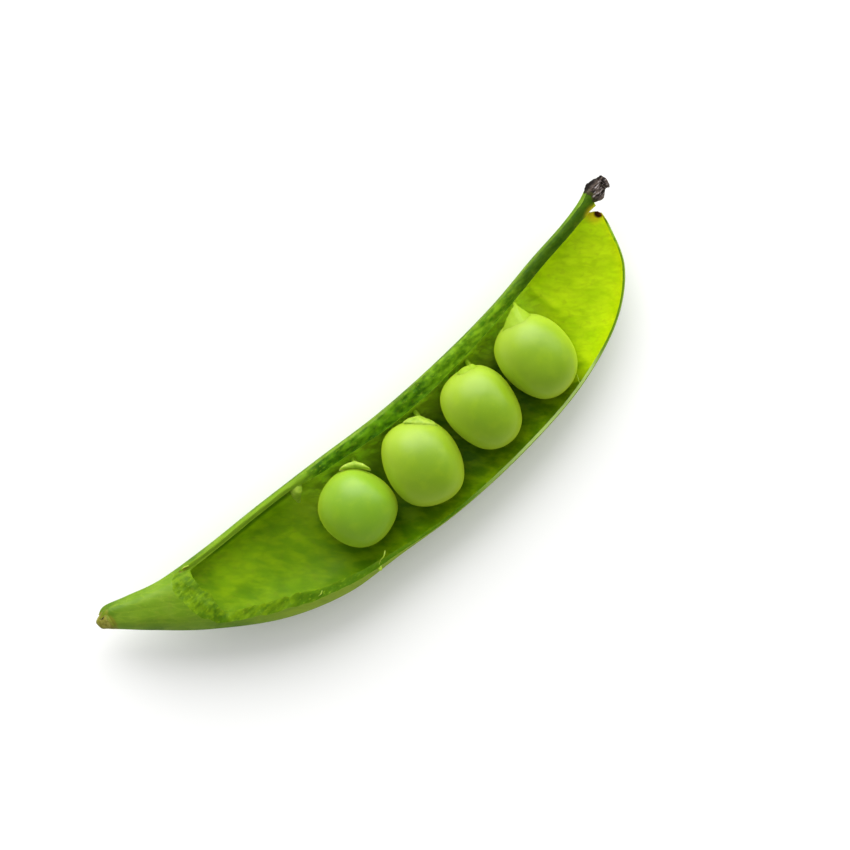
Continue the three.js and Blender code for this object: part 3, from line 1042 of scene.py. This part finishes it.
# Lengths of the stage are metres, and the lights' power is in watts.
FLOOR_HALF_SIDE = 0.7
KEY_TURN = math.radians(30)
LIGHTS = {
    "key": dict(towards=(math.sin(KEY_TURN), math.cos(KEY_TURN), 0.58), distance=1.6, size=2.0,
                power=36),
    "side": dict(towards=(1, 0.1, 0.45), distance=1.6, size=1.4, power=9),
}

# The room's strength for diffuse light, and as the camera and reflections see it.
ROOM_LIGHT = 0.6
ROOM_SEEN = 1.0
ROOM_REFLECTED = 0.05


def add_light(name, at, towards, distance, size, power):
    data = bpy.data.lights.new(name, "AREA")
    data.shape = "DISK"
    data.size = size
    data.energy = power
    light = bpy.data.objects.new(name, data)
    direction = Vector(towards).normalized()
    light.location = at + direction * distance
    light.rotation_mode = "QUATERNION"
    light.rotation_quaternion = direction.to_track_quat("Z", "Y")
    bpy.context.scene.collection.objects.link(light)


def white_room():
    """Even white light, seen as white, with fainter reflections than the lamps have."""
    world = bpy.data.worlds.new("studio")
    world.use_nodes = True
    tree = world.node_tree
    path = tree.nodes.new("ShaderNodeLightPath")
    changes = []
    for ray, level in (("Is Camera Ray", ROOM_SEEN), ("Is Glossy Ray", ROOM_REFLECTED)):
        change = tree.nodes.new("ShaderNodeMath")
        change.operation = "MULTIPLY_ADD"
        tree.links.new(path.outputs[ray], change.inputs[0])
        change.inputs[1].default_value = level - ROOM_LIGHT
        changes.append(change)
    changes[0].inputs[2].default_value = ROOM_LIGHT
    tree.links.new(changes[0].outputs[0], changes[1].inputs[2])
    background = tree.nodes["Background"]
    background.inputs["Color"].default_value = (1, 1, 1, 1)
    tree.links.new(changes[1].outputs[0], background.inputs["Strength"])
    return world


def stage():
    low, high = CAD_BOX
    middle = (low + high) / 2
    centre = Vector((middle.x, middle.y, low.z))
    signs = [(-1, -1), (1, -1), (1, 1), (-1, 1)]
    corners = [centre + Vector((x, y, 0)) * FLOOR_HALF_SIDE for x, y in signs]
    new_object("floor", corners, [(0, 1, 2, 3)], [floor_material()], smooth_angle=0)
    for name, light in LIGHTS.items():
        add_light(name, middle, **light)
    bpy.context.scene.world = white_room()
    bpy.context.scene.view_settings.view_transform = "Standard"


def camera():
    data = bpy.data.cameras.new("camera")
    data.lens = LENS
    data.sensor_width = SENSOR
    obj = bpy.data.objects.new("camera", data)
    obj.location = to_frame((*LOOK_AT, FIELD * LENS / SENSOR))
    obj.rotation_euler = (0, 0, -ROLL)
    bpy.context.scene.collection.objects.link(obj)
    bpy.context.scene.camera = obj


def main():
    camera()
    stage()
    pod_shell()
    green = pea_material()
    pale = stalk_material("seed_stalk", -1.6, 0.2)
    for index in range(len(PEA_PLAN)):
        pea(index, green)
        seed_stalk(index, pale)
    small_seed(stalk_material("small_seed", -5.0, -2.5))
    torn_fibres(pale)
    stalk_end(scar_material())
    style_tuft(style_material())


main()
